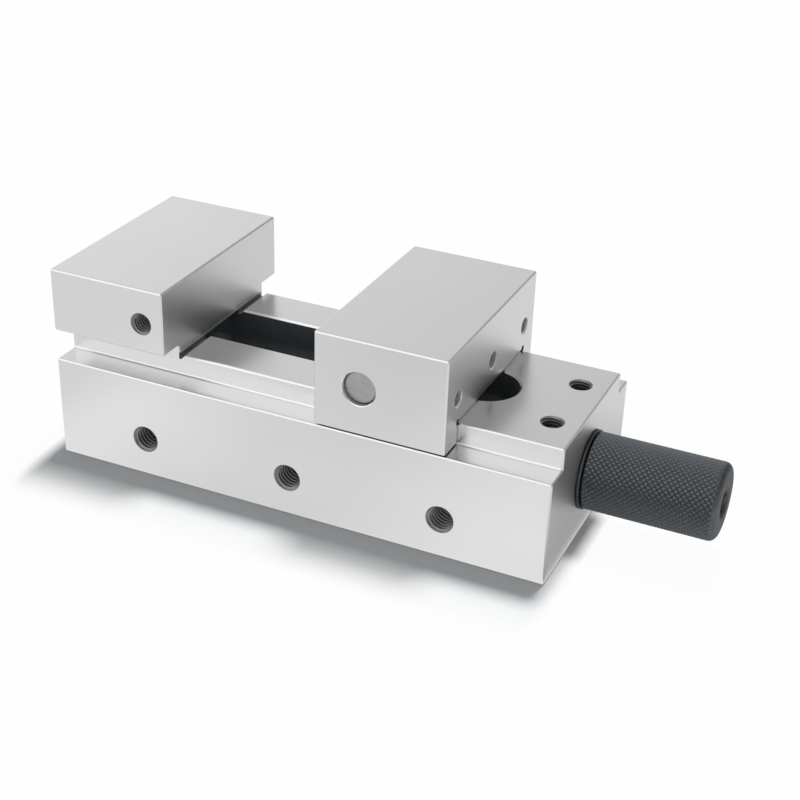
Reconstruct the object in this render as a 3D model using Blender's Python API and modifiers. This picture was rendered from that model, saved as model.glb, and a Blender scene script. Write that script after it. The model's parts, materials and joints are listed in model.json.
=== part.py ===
"""Toolmaker's vise.

A ground steel body carries one fixed jaw and two rails. A second jaw slides on the rails. A draw block
hangs from its cross pin through the slot between the rails, and a knurled screw that turns in the end
wall draws the block, and with it the jaw, along. X runs along the vise from the fixed jaw to the knob,
Y across it, and Z up from the bottom face. The origin is the bottom centre of the whole vise.
"""

import math

import bmesh
import bpy
from mathutils import Matrix

mm = 0.001

# Gaps between pieces, and how far a cutter runs past the face that it cuts
SLIDE_GAP = 0.25 * mm
SEAT_GAP = 0.2 * mm
PIN_GAP = 0.15 * mm
OVERRUN = 1.0 * mm

# Body
BODY_LENGTH = 118.0 * mm
BODY_WIDTH = 50.0 * mm
LEDGE_HEIGHT = 24.2 * mm
RAIL_HEIGHT = 4.9 * mm
GROOVE_DEPTH = 6.4 * mm
FIXED_JAW_LENGTH = 28.5 * mm
JAW_HEIGHT = 17.0 * mm
OVERHANG_LIFT = 2.1 * mm
EDGE_CHAMFER = 0.45 * mm
RELIEF_WIDTH = 1.4 * mm
RELIEF_DEPTH = 1.2 * mm
RELIEF_SLOPE = 1.15 * mm
RELIEF_UNDERCUT = 0.3 * mm

# Slot between the rails, and the wider channel below it
SLOT_WIDTH = 14.8 * mm
SLOT_UNDER_JAW = 7.5 * mm
END_WALL = 17.0 * mm
RAIL_THICKNESS = 6.5 * mm
CHANNEL_SHOULDER = 4.5 * mm
CHANNEL_UNDER_JAW = 8.5 * mm
CHANNEL_PAST_SLOT = 0.5 * mm
CHANNEL_CORNER_RADIUS = 4.0 * mm

# Tapped holes in the sides of the body and of the fixed jaw
SIDE_HOLE_RADIUS = 3.1 * mm
SIDE_HOLE_DEPTH = 10.0 * mm
SIDE_HOLE_HEIGHT = 9.1 * mm
SIDE_HOLE_SPACING = 35.9 * mm
FIRST_SIDE_HOLE = 22.5 * mm
SIDE_HOLES_PER_SIDE = 3
STOP_HOLE_RADIUS = 2.4 * mm
STOP_HOLE_DEPTH = 9.0 * mm
STOP_HOLE_FROM_FACE = 5.5 * mm
STOP_HOLE_ABOVE_RAIL = 8.8 * mm
HOLE_CHAMFER = 0.3 * mm
DRILL_POINT_SHARE = 0.6

# Sliding jaw
SLIDING_JAW_LENGTH = 30.0 * mm
SKIRT_LIFT = 0.4 * mm
CORNER_RELIEF_RADIUS = 0.8 * mm
CORNER_RELIEF_PAST = 0.25 * mm
CROSS_PIN_RADIUS = 3.75 * mm
CROSS_PIN_RECESS = 1.0 * mm
CROSS_PIN_FROM_FACE = 10.3 * mm
CROSS_PIN_ABOVE_RAIL = 5.9 * mm
PIN_CHAMFER = 0.35 * mm
LOCK_HOLE_RADIUS = 2.05 * mm
LOCK_HOLE_FROM_SIDE = 6.0 * mm
LOCK_HOLE_ABOVE_RAIL = 5.9 * mm
LOCK_SCREW_LENGTH = 6.0 * mm
LOCK_SCREW_SOCKET = 2.5 * mm

# Draw block and its bronze nut
TONGUE_LENGTH = 12.0 * mm
TONGUE_ABOVE_PIN = 6.0 * mm
BLOCK_LENGTH = 20.0 * mm
BLOCK_OFF_GROUND = 4.0 * mm
NUT_RADIUS = 6.0 * mm
NUT_FLANGE_RADIUS = 7.0 * mm
NUT_FLANGE_THICKNESS = 1.5 * mm
NUT_SCREW_RADIUS = 1.4 * mm
NUT_SCREW_LENGTH = 3.6 * mm
NUT_SCREW_SOCKET = 1.5 * mm
# As drawn, the nut stands this far before the channel's end
REST_BACK_OFF = 14.7 * mm

# Screw
SCREW_HEIGHT = 14.6 * mm
THREAD_RADIUS = 4.0 * mm
THREAD_NECK_RADIUS = 3.2 * mm
THREAD_NECK_LENGTH = 2.0 * mm
JOURNAL_RADIUS = 7.5 * mm
JOURNAL_CHAMFER = 0.5 * mm
STUB_RADIUS = 5.0 * mm
STUB_LENGTH = 13.0 * mm
PILOT_RADIUS = 3.0 * mm
PILOT_LENGTH = 8.0 * mm
BUSH_WALL = 1.6 * mm

# Pins that hold the screw in the end wall, and the screws that close their holes
KEEPER_RADIUS = 2.4 * mm
KEEPER_LENGTH = 14.0 * mm
KEEPER_OFFSET = 9.1 * mm
KEEPER_FROM_END = 6.1 * mm
PLUG_LENGTH = 5.0 * mm
PLUG_SOCKET = 3.0 * mm

# Knob
KNOB_RADIUS = 8.5 * mm
KNOB_LENGTH = 28.6 * mm
KNOB_OUTER_CHAMFER = 1.4 * mm
KNOB_INNER_CHAMFER = 0.4 * mm
KNOB_SOCKET = 6.0 * mm
KNOB_SOCKET_DEPTH = 8.0 * mm
KNOB_SOCKET_CHAMFER = 0.7 * mm
KNOB_SCREW_RADIUS = 1.8 * mm
KNOB_SCREW_LENGTH = 3.2 * mm
KNOB_SCREW_SOCKET = 2.0 * mm
KNOB_SCREW_FROM_END = 6.0 * mm
WASHER_THICKNESS = 0.6 * mm
WASHER_RADIUS = 8.8 * mm

# Grub screws: the socket's depth and the chamfer are shares of the screw's own length and radius
SOCKET_DEPTH_SHARE = 0.5
GRUB_CHAMFER_SHARE = 0.2

# Facets round a turned piece, and along the round of a milled corner
HOLE_STEPS = 24
ROUND_STEPS = 36
KNOB_STEPS = 48
CORNER_STEPS = 6
MERGE_DISTANCE = 0.001 * mm

# Places that follow from the sizes above
rail_top = LEDGE_HEIGHT + RAIL_HEIGHT
jaw_top = rail_top + JAW_HEIGHT
overhang_bottom = rail_top + OVERHANG_LIFT
body_half = BODY_WIDTH / 2
rail_half = body_half - GROOVE_DEPTH
slot_half = SLOT_WIDTH / 2
channel_half = slot_half + CHANNEL_SHOULDER
channel_roof = rail_top - RAIL_THICKNESS
channel_front = FIXED_JAW_LENGTH - CHANNEL_UNDER_JAW
slot_end = BODY_LENGTH - END_WALL
knob_start = WASHER_THICKNESS + 2 * SEAT_GAP
overall_length = BODY_LENGTH + knob_start + KNOB_LENGTH
left_end = -overall_length / 2
keeper_hole_radius = KEEPER_RADIUS + SEAT_GAP
keeper_bottom = SCREW_HEIGHT - KEEPER_LENGTH / 2
pin_hole_radius = CROSS_PIN_RADIUS + PIN_GAP
tongue_top = CROSS_PIN_ABOVE_RAIL + TONGUE_ABOVE_PIN
lock_hole_spacing = body_half - LOCK_HOLE_FROM_SIDE
nut_back = BLOCK_LENGTH / 2 + SEAT_GAP + NUT_FLANGE_THICKNESS
jaw_face = slot_end + CHANNEL_PAST_SLOT - REST_BACK_OFF - nut_back - CROSS_PIN_FROM_FACE

# Turns that point a piece's own Z along the vise, out of its near or far side, and down
ALONG_X = (0, math.pi / 2, 0)
OUT_NEAR = (math.pi / 2, 0, 0)
OUT_FAR = (-math.pi / 2, 0, 0)
DOWNWARD = (math.pi, 0, 0)
# The knob's set screw points to the far side and down
KNOB_SCREW_TURN = (0, math.pi / 2, math.pi / 4)


def clear_scene():
    for old in list(bpy.data.objects):
        bpy.data.objects.remove(old)


def new_collection(name):
    made = bpy.data.collections.new(name)
    bpy.context.scene.collection.children.link(made)
    return made


def new_material(name, colour, roughness):
    made = bpy.data.materials.new(name)
    made.use_nodes = True
    shader = made.node_tree.nodes["Principled BSDF"]
    shader.inputs["Base Color"].default_value = (*colour, 1)
    shader.inputs["Metallic"].default_value = 1
    shader.inputs["Roughness"].default_value = roughness
    return made


clear_scene()
pieces = new_collection("toolmakers_vise")
cutters = new_collection("cutters")
ground_steel = new_material("ground_steel", (0.78, 0.78, 0.79), 0.25)
black_steel = new_material("black_steel", (0.045, 0.048, 0.052), 0.45)
plain_steel = new_material("plain_steel", (0.42, 0.42, 0.43), 0.35)
bronze = new_material("bronze", (0.62, 0.42, 0.2), 0.35)


def guide(name, place, turn=(0, 0, 0)):
    """An empty that a group of pieces is placed by."""
    made = bpy.data.objects.new(name, None)
    made.location = place
    made.rotation_euler = turn
    pieces.objects.link(made)
    return made


def place(mesh, name, parent, where, turn, material):
    """Puts a mesh into the scene: as a piece if it has a material, and otherwise as a cutter."""
    made = bpy.data.objects.new(name, mesh)
    made.parent = parent
    made.location = where
    made.rotation_euler = turn
    if material is None:
        made.hide_render = True
        made.display_type = "WIRE"
        cutters.objects.link(made)
    else:
        mesh.materials.append(material)
        pieces.objects.link(made)
    return made


def box(name, parent, x, y, z, material=None, corner=0, slope=0):
    """A block between two limits on each axis.

    A corner radius rounds its four upright edges. A slope takes its lower edge off at 45 degrees, on the
    side of +X.
    """
    shape = bmesh.new()
    bmesh.ops.create_cube(shape, size=1)
    size = (x[1] - x[0], y[1] - y[0], z[1] - z[0])
    middle = (sum(x) / 2, sum(y) / 2, sum(z) / 2)
    shape.transform(Matrix.LocRotScale(middle, None, size))
    if corner:
        upright = [e for e in shape.edges if abs(e.verts[0].co.z - e.verts[1].co.z) > size[2] / 2]
        bmesh.ops.bevel(
            shape, geom=upright, offset=corner, segments=CORNER_STEPS, affect="EDGES", profile=0.5
        )
        bmesh.ops.remove_doubles(shape, verts=shape.verts, dist=MERGE_DISTANCE)
    if slope:
        lower = [e for e in shape.edges if all(v.co.x > middle[0] and v.co.z < middle[2] for v in e.verts)]
        bmesh.ops.bevel(shape, geom=lower, offset=slope, segments=1, affect="EDGES")
    mesh = bpy.data.meshes.new(name)
    shape.to_mesh(mesh)
    shape.free()
    return place(mesh, name, parent, (0, 0, 0), (0, 0, 0), material)


def turned(name, parent, profile, where=(0, 0, 0), turn=(0, 0, 0), material=None, ring=False,
           steps=ROUND_STEPS):
    """A turned shape. The profile lists (radius, height) down the outer side, and a ring's is closed."""
    mesh = bpy.data.meshes.new(name)
    corners = [(radius, 0, height) for radius, height in profile]
    edges = [(i, i + 1) for i in range(len(corners) - 1)]
    if ring:
        edges.append((len(corners) - 1, 0))
    mesh.from_pydata(corners, edges, [])
    made = place(mesh, name, parent, where, turn, material)
    lathe = made.modifiers.new("lathe", "SCREW")
    lathe.steps = steps
    lathe.render_steps = steps
    lathe.use_merge_vertices = True
    lathe.merge_threshold = MERGE_DISTANCE
    return made


def hexagon(name, parent, across_flats, low, high, where=(0, 0, 0), turn=(0, 0, 0)):
    """A hexagonal cutter for a key socket, from one height to another."""
    shape = bmesh.new()
    corner = across_flats / math.sqrt(3)
    bmesh.ops.create_cone(
        shape, cap_ends=True, segments=6, radius1=corner, radius2=corner, depth=high - low
    )
    shape.transform(Matrix.Translation((0, 0, (low + high) / 2)))
    mesh = bpy.data.meshes.new(name)
    shape.to_mesh(mesh)
    shape.free()
    return place(mesh, name, parent, where, turn, None)


def cut(piece, *tools):
    for tool in tools:
        step = piece.modifiers.new("cut " + tool.name, "BOOLEAN")
        step.operation = "DIFFERENCE"
        step.solver = "EXACT"
        step.object = tool


def join(piece, other):
    step = piece.modifiers.new("join " + other.name, "BOOLEAN")
    step.operation = "UNION"
    step.solver = "EXACT"
    step.object = other


def break_edges(piece, width=EDGE_CHAMFER):
    """Chamfers every sharp edge that the piece has so far."""
    step = piece.modifiers.new("broken edges", "BEVEL")
    step.limit_method = "ANGLE"
    step.width = width
    step.segments = 1


def blind_hole(name, parent, radius, depth, where, turn):
    """A cutter for a drilled hole with a chamfered mouth. Its mouth is at height 0."""
    mouth = radius + HOLE_CHAMFER + OVERRUN
    profile = [
        (0, OVERRUN),
        (mouth, OVERRUN),
        (radius, -HOLE_CHAMFER),
        (radius, -depth),
        (0, -depth - radius * DRILL_POINT_SHARE),
    ]
    return turned(name, parent, profile, where, turn, steps=HOLE_STEPS)


def open_hole(name, parent, radius, half_length, where, turn):
    """A cutter for a hole right through, chamfered at both mouths."""
    mouth = radius + HOLE_CHAMFER + OVERRUN
    profile = [
        (0, half_length + OVERRUN),
        (mouth, half_length + OVERRUN),
        (radius, half_length - HOLE_CHAMFER),
        (radius, HOLE_CHAMFER - half_length),
        (mouth, -half_length - OVERRUN),
        (0, -half_length - OVERRUN),
    ]
    return turned(name, parent, profile, where, turn)


def plain_bore(name, parent, radius, low, high, where=(0, 0, 0), turn=(0, 0, 0), steps=ROUND_STEPS):
    profile = [(0, high), (radius, high), (radius, low), (0, low)]
    return turned(name, parent, profile, where, turn, steps=steps)


def dowel(name, parent, radius, length, where, turn, material):
    """A plain pin about its own middle, chamfered at both ends."""
    half = length / 2
    profile = [
        (0, half),
        (radius - PIN_CHAMFER, half),
        (radius, half - PIN_CHAMFER),
        (radius, PIN_CHAMFER - half),
        (radius - PIN_CHAMFER, -half),
        (0, -half),
    ]
    return turned(name, parent, profile, where, turn, material)


def grub_screw(name, parent, radius, length, socket, where, turn, material):
    """A headless screw. Its socket opens at height 0 and its body lies below that."""
    chamfer = radius * GRUB_CHAMFER_SHARE
    profile = [
        (0, 0),
        (radius - chamfer, 0),
        (radius, -chamfer),
        (radius, chamfer - length),
        (radius - chamfer, -length),
        (0, -length),
    ]
    screw = turned(name, parent, profile, where, turn, material, steps=HOLE_STEPS)
    depth = length * SOCKET_DEPTH_SHARE
    cut(screw, hexagon(name + "_key", parent, socket, -depth, OVERRUN, where, turn))
    return screw


# Guides: the body's left end, the sliding jaw's clamping face on the rails, and the screw's axis
body_guide = guide("body_guide", (left_end, 0, 0))
jaw_guide = guide("jaw_guide", (left_end + jaw_face, 0, rail_top))
screw_guide = guide("screw_guide", (left_end + BODY_LENGTH, 0, SCREW_HEIGHT), ALONG_X)


def build_body():
    wide = (-body_half - OVERRUN, body_half + OVERRUN)
    body = box("body", body_guide, (0, BODY_LENGTH), (-body_half, body_half), (0, jaw_top), ground_steel)
    cut(body, box("above_rails", body_guide, (FIXED_JAW_LENGTH, BODY_LENGTH + OVERRUN), wide,
                  (rail_top, jaw_top + OVERRUN)))
    for side, y in (("near", (wide[0], -rail_half)), ("far", (rail_half, wide[1]))):
        cut(body, box(f"groove_{side}", body_guide, (-OVERRUN, BODY_LENGTH + OVERRUN), y,
                      (LEDGE_HEIGHT, overhang_bottom)))
    break_edges(body)
    cut(body, box("relief", body_guide, (FIXED_JAW_LENGTH - RELIEF_UNDERCUT, FIXED_JAW_LENGTH + RELIEF_WIDTH),
                  wide, (rail_top - RELIEF_DEPTH, rail_top + RELIEF_UNDERCUT), slope=RELIEF_SLOPE))
    cut(body, box("channel", body_guide, (channel_front, slot_end + CHANNEL_PAST_SLOT),
                  (-channel_half, channel_half), (-OVERRUN, channel_roof), corner=CHANNEL_CORNER_RADIUS))
    cut(body, box("slot", body_guide, (FIXED_JAW_LENGTH - SLOT_UNDER_JAW, slot_end), (-slot_half, slot_half),
                  (channel_roof - OVERRUN, rail_top + RELIEF_UNDERCUT), corner=slot_half))
    cut_screw_bores(body)
    cut_side_holes(body)
    return body


def cut_screw_bores(body):
    """The journal's bore and its two keeper holes in the end wall, and the bush's seat in the front wall."""
    bore_radius = JOURNAL_RADIUS + SLIDE_GAP
    mouth = bore_radius + HOLE_CHAMFER + OVERRUN
    profile = [
        (0, OVERRUN),
        (mouth, OVERRUN),
        (bore_radius, -HOLE_CHAMFER),
        (bore_radius, -END_WALL - OVERRUN),
        (0, -END_WALL - OVERRUN),
    ]
    cut(body, turned("journal_bore", screw_guide, profile))
    seat_radius = PILOT_RADIUS + SLIDE_GAP + BUSH_WALL + SEAT_GAP
    cut(body, plain_bore("bush_seat", body_guide, seat_radius, -PILOT_LENGTH - SEAT_GAP, OVERRUN,
                         (channel_front, 0, SCREW_HEIGHT), ALONG_X))
    depth = rail_top - keeper_bottom + SEAT_GAP
    for side, y in (("near", -KEEPER_OFFSET), ("far", KEEPER_OFFSET)):
        cut(body, blind_hole(f"keeper_hole_{side}", body_guide, keeper_hole_radius, depth,
                             (BODY_LENGTH - KEEPER_FROM_END, y, rail_top), (0, 0, 0)))


def cut_side_holes(body):
    """Three tapped holes in each side of the body, and one in each side of the fixed jaw."""
    stop_place = (FIXED_JAW_LENGTH - STOP_HOLE_FROM_FACE, rail_top + STOP_HOLE_ABOVE_RAIL)
    for side, y, turn in (("near", -body_half, OUT_NEAR), ("far", body_half, OUT_FAR)):
        for number in range(SIDE_HOLES_PER_SIDE):
            x = FIRST_SIDE_HOLE + number * SIDE_HOLE_SPACING
            cut(body, blind_hole(f"side_hole_{side}_{number + 1}", body_guide, SIDE_HOLE_RADIUS,
                                 SIDE_HOLE_DEPTH, (x, y, SIDE_HOLE_HEIGHT), turn))
        cut(body, blind_hole(f"stop_hole_{side}", body_guide, STOP_HOLE_RADIUS, STOP_HOLE_DEPTH,
                             (stop_place[0], y, stop_place[1]), turn))


def build_sliding_jaw():
    """The jaw's own zero is its clamping face, at the height of the rails' top."""
    wide = (-body_half - OVERRUN, body_half + OVERRUN)
    skirt_bottom = SKIRT_LIFT - RAIL_HEIGHT
    inner_half = rail_half + SLIDE_GAP
    jaw = box("moving_jaw", jaw_guide, (0, SLIDING_JAW_LENGTH), (-body_half, body_half),
              (skirt_bottom, JAW_HEIGHT), ground_steel)
    along = (-OVERRUN, SLIDING_JAW_LENGTH + OVERRUN)
    cut(jaw, box("rail_way", jaw_guide, along, (-inner_half, inner_half), (skirt_bottom - OVERRUN, SLIDE_GAP)))
    break_edges(jaw)
    relief_y = inner_half + CORNER_RELIEF_PAST
    for side, y in (("near", -relief_y), ("far", relief_y)):
        cut(jaw, plain_bore(f"corner_relief_{side}", jaw_guide, CORNER_RELIEF_RADIUS, *along,
                            (0, y, SLIDE_GAP + CORNER_RELIEF_PAST), ALONG_X, HOLE_STEPS))
    half_pocket = TONGUE_LENGTH / 2 + SEAT_GAP
    cut(jaw, box("tongue_pocket", jaw_guide,
                 (CROSS_PIN_FROM_FACE - half_pocket, CROSS_PIN_FROM_FACE + half_pocket),
                 (-slot_half, slot_half), (-OVERRUN, tongue_top + SEAT_GAP)))
    cut(jaw, open_hole("jaw_pin_hole", jaw_guide, pin_hole_radius, body_half,
                       (CROSS_PIN_FROM_FACE, 0, CROSS_PIN_ABOVE_RAIL), OUT_NEAR))
    depth = SLIDING_JAW_LENGTH - CROSS_PIN_FROM_FACE
    for name, y in (("near", -lock_hole_spacing), ("middle", 0), ("far", lock_hole_spacing)):
        mouth = LOCK_HOLE_RADIUS + HOLE_CHAMFER + OVERRUN
        profile = [
            (0, OVERRUN),
            (mouth, OVERRUN),
            (LOCK_HOLE_RADIUS, -HOLE_CHAMFER),
            (LOCK_HOLE_RADIUS, -depth),
            (0, -depth),
        ]
        cut(jaw, turned(f"lock_hole_{name}", jaw_guide, profile,
                        (SLIDING_JAW_LENGTH, y, LOCK_HOLE_ABOVE_RAIL), ALONG_X, steps=HOLE_STEPS))
    return jaw


def build_jaw_fittings():
    """The cross pin, the two screws that lock it and the one that takes up the tongue's play."""
    dowel("jaw_pin", jaw_guide, CROSS_PIN_RADIUS, BODY_WIDTH - 2 * CROSS_PIN_RECESS,
          (CROSS_PIN_FROM_FACE, 0, CROSS_PIN_ABOVE_RAIL), OUT_NEAR, plain_steel)
    on_pin = CROSS_PIN_FROM_FACE + CROSS_PIN_RADIUS + SEAT_GAP + LOCK_SCREW_LENGTH
    on_tongue = CROSS_PIN_FROM_FACE + TONGUE_LENGTH / 2 + SEAT_GAP + LOCK_SCREW_LENGTH
    radius = LOCK_HOLE_RADIUS - SEAT_GAP
    for name, x, y in (
        ("pin_lock_screw_near", on_pin, -lock_hole_spacing),
        ("tongue_screw", on_tongue, 0),
        ("pin_lock_screw_far", on_pin, lock_hole_spacing),
    ):
        grub_screw(name, jaw_guide, radius, LOCK_SCREW_LENGTH, LOCK_SCREW_SOCKET,
                   (x, y, LOCK_HOLE_ABOVE_RAIL), ALONG_X, black_steel)


def build_draw_block():
    """The block runs in the channel under the rails, and its tongue reaches the cross pin."""
    half_block = BLOCK_LENGTH / 2
    half_tongue = TONGUE_LENGTH / 2
    shoulder = -RAIL_THICKNESS - SLIDE_GAP
    block_half = channel_half - SLIDE_GAP
    tongue_half = slot_half - SLIDE_GAP
    nut_height = SCREW_HEIGHT - rail_top
    block = box("draw_block", jaw_guide, (CROSS_PIN_FROM_FACE - half_block, CROSS_PIN_FROM_FACE + half_block),
                (-block_half, block_half), (BLOCK_OFF_GROUND - rail_top, shoulder), plain_steel)
    join(block, box("tongue", jaw_guide, (CROSS_PIN_FROM_FACE - half_tongue, CROSS_PIN_FROM_FACE + half_tongue),
                    (-tongue_half, tongue_half), (shoulder - OVERRUN, tongue_top)))
    break_edges(block)
    cut(block, plain_bore("tongue_pin_hole", jaw_guide, pin_hole_radius, -body_half, body_half,
                          (CROSS_PIN_FROM_FACE, 0, CROSS_PIN_ABOVE_RAIL), OUT_NEAR))
    cut(block, plain_bore("nut_seat", jaw_guide, NUT_RADIUS + SEAT_GAP, -BLOCK_LENGTH, BLOCK_LENGTH,
                          (CROSS_PIN_FROM_FACE, 0, nut_height), ALONG_X))
    screw_top = nut_height - NUT_RADIUS - SEAT_GAP
    cut(block, plain_bore("nut_screw_hole", jaw_guide, NUT_SCREW_RADIUS + SEAT_GAP, -rail_top, nut_height,
                          (CROSS_PIN_FROM_FACE, 0, 0), steps=HOLE_STEPS))
    grub_screw("nut_lock_screw", jaw_guide, NUT_SCREW_RADIUS, NUT_SCREW_LENGTH, NUT_SCREW_SOCKET,
               (CROSS_PIN_FROM_FACE, 0, screw_top - NUT_SCREW_LENGTH), DOWNWARD, black_steel)
    bore = THREAD_RADIUS + SLIDE_GAP
    flange_low = half_block + SEAT_GAP
    flange_high = flange_low + NUT_FLANGE_THICKNESS
    profile = [
        (bore, flange_high),
        (NUT_FLANGE_RADIUS, flange_high),
        (NUT_FLANGE_RADIUS, flange_low),
        (NUT_RADIUS, flange_low),
        (NUT_RADIUS, -half_block),
        (bore, -half_block),
    ]
    turned("lead_nut", jaw_guide, profile, (CROSS_PIN_FROM_FACE, 0, nut_height), ALONG_X, bronze, ring=True)
    return block


def build_screw():
    """The screw's own zero is the body's end face, and its heights run along the vise."""
    journal_start = -END_WALL + JOURNAL_CHAMFER
    thread_start = channel_front - BODY_LENGTH + OVERRUN
    groove_half = KEEPER_RADIUS + SEAT_GAP
    groove_radius = KEEPER_OFFSET - KEEPER_RADIUS - SEAT_GAP
    profile = [
        (0, STUB_LENGTH),
        (STUB_RADIUS - PIN_CHAMFER, STUB_LENGTH),
        (STUB_RADIUS, STUB_LENGTH - PIN_CHAMFER),
        (STUB_RADIUS, 0),
        (JOURNAL_RADIUS - JOURNAL_CHAMFER, 0),
        (JOURNAL_RADIUS, -JOURNAL_CHAMFER),
        (JOURNAL_RADIUS, groove_half - KEEPER_FROM_END),
        (groove_radius, groove_half - KEEPER_FROM_END),
        (groove_radius, -groove_half - KEEPER_FROM_END),
        (JOURNAL_RADIUS, -groove_half - KEEPER_FROM_END),
        (JOURNAL_RADIUS, journal_start + JOURNAL_CHAMFER),
        (JOURNAL_RADIUS - JOURNAL_CHAMFER, journal_start),
        (THREAD_NECK_RADIUS, journal_start),
        (THREAD_NECK_RADIUS, journal_start - THREAD_NECK_LENGTH),
        (THREAD_RADIUS, journal_start - THREAD_NECK_LENGTH - THREAD_RADIUS + THREAD_NECK_RADIUS),
        (THREAD_RADIUS, thread_start + THREAD_RADIUS - PILOT_RADIUS),
        (PILOT_RADIUS, thread_start),
        (PILOT_RADIUS, channel_front - BODY_LENGTH - PILOT_LENGTH + PIN_CHAMFER),
        (PILOT_RADIUS - PIN_CHAMFER, channel_front - BODY_LENGTH - PILOT_LENGTH),
        (0, channel_front - BODY_LENGTH - PILOT_LENGTH),
    ]
    screw = turned("lead_screw", screw_guide, profile, material=black_steel)
    inner = PILOT_RADIUS + SLIDE_GAP
    bush_profile = [
        (inner, 0),
        (inner + BUSH_WALL, 0),
        (inner + BUSH_WALL, -PILOT_LENGTH),
        (inner, -PILOT_LENGTH),
    ]
    turned("front_bush", body_guide, bush_profile, (channel_front, 0, SCREW_HEIGHT), ALONG_X, bronze, ring=True)
    return screw


def build_keepers():
    """Two upright pins lie in the journal's groove, and a grub screw closes each hole above its pin."""
    for side, y in (("near", -KEEPER_OFFSET), ("far", KEEPER_OFFSET)):
        x = BODY_LENGTH - KEEPER_FROM_END
        dowel(f"keeper_pin_{side}", body_guide, KEEPER_RADIUS, KEEPER_LENGTH, (x, y, SCREW_HEIGHT), (0, 0, 0),
              plain_steel)
        top = keeper_bottom + KEEPER_LENGTH + SEAT_GAP + PLUG_LENGTH
        grub_screw(f"keeper_plug_{side}", body_guide, KEEPER_RADIUS, PLUG_LENGTH, PLUG_SOCKET, (x, y, top),
                   (0, 0, 0), black_steel)


def build_knob():
    knob_end = knob_start + KNOB_LENGTH
    profile = [
        (0, knob_end),
        (KNOB_RADIUS - KNOB_OUTER_CHAMFER, knob_end),
        (KNOB_RADIUS, knob_end - KNOB_OUTER_CHAMFER),
        (KNOB_RADIUS, knob_start + KNOB_INNER_CHAMFER),
        (KNOB_RADIUS - KNOB_INNER_CHAMFER, knob_start),
        (0, knob_start),
    ]
    knob = turned("knurled_knob", screw_guide, profile, material=black_steel, steps=KNOB_STEPS)
    cut(knob, plain_bore("stub_bore", screw_guide, STUB_RADIUS + SEAT_GAP, knob_start - OVERRUN,
                         STUB_LENGTH + SEAT_GAP))
    cut(knob, hexagon("knob_key", screw_guide, KNOB_SOCKET, knob_end - KNOB_SOCKET_DEPTH, knob_end + OVERRUN))
    corner = KNOB_SOCKET / math.sqrt(3)
    mouth = [
        (0, knob_end + OVERRUN),
        (corner + KNOB_SOCKET_CHAMFER + OVERRUN, knob_end + OVERRUN),
        (0, knob_end - corner - KNOB_SOCKET_CHAMFER),
    ]
    cut(knob, turned("knob_key_mouth", screw_guide, mouth, steps=HOLE_STEPS))
    build_knob_screw(knob)
    washer = [
        (STUB_RADIUS + SEAT_GAP, WASHER_THICKNESS + SEAT_GAP),
        (WASHER_RADIUS, WASHER_THICKNESS + SEAT_GAP),
        (WASHER_RADIUS, SEAT_GAP),
        (STUB_RADIUS + SEAT_GAP, SEAT_GAP),
    ]
    turned("thrust_washer", screw_guide, washer, material=plain_steel, ring=True)
    return knob


def build_knob_screw(knob):
    """A small set screw in the knob's side holds it on the stub."""
    height = knob_start + KNOB_SCREW_FROM_END
    profile = [
        (0, KNOB_RADIUS + OVERRUN),
        (KNOB_SCREW_RADIUS + SEAT_GAP, KNOB_RADIUS + OVERRUN),
        (KNOB_SCREW_RADIUS + SEAT_GAP, 0),
        (0, 0),
    ]
    cut(knob, turned("knob_screw_hole", screw_guide, profile, (0, 0, height), KNOB_SCREW_TURN, steps=HOLE_STEPS))
    reach = STUB_RADIUS + SEAT_GAP + KNOB_SCREW_LENGTH
    x = reach * math.cos(KNOB_SCREW_TURN[2])
    y = reach * math.sin(KNOB_SCREW_TURN[2])
    grub_screw("knob_set_screw", screw_guide, KNOB_SCREW_RADIUS, KNOB_SCREW_LENGTH, KNOB_SCREW_SOCKET,
               (x, y, height), KNOB_SCREW_TURN, black_steel)


def shade_pieces():
    """Round faces are shaded smooth, and edges sharper than the limit stay crisp."""
    limit = math.radians(30)
    for piece in pieces.objects:
        if piece.type == "MESH":
            piece.data.shade_smooth()
            piece.data.set_sharp_from_angle(angle=limit)


build_body()
build_sliding_jaw()
build_jaw_fittings()
build_draw_block()
build_screw()
build_keepers()
build_knob()
shade_pieces()
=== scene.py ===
import json
import math

import bmesh
import bpy
from mathutils import Matrix, Vector


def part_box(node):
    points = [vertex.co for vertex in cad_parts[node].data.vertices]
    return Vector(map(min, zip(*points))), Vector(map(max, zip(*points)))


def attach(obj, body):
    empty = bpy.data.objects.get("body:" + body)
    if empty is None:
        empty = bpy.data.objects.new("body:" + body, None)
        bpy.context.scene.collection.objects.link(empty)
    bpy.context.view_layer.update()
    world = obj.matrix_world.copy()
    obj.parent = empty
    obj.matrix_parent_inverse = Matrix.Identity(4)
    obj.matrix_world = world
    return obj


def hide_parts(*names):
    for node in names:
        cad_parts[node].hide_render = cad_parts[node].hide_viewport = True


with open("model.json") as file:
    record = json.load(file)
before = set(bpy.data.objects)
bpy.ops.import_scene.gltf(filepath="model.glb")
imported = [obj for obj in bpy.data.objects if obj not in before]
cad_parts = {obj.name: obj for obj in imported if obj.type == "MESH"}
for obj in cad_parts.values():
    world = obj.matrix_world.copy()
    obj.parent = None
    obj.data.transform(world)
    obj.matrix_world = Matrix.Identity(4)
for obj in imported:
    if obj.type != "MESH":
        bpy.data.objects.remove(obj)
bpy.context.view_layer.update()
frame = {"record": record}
mm = 0.001                  # the scene is in metres

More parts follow.
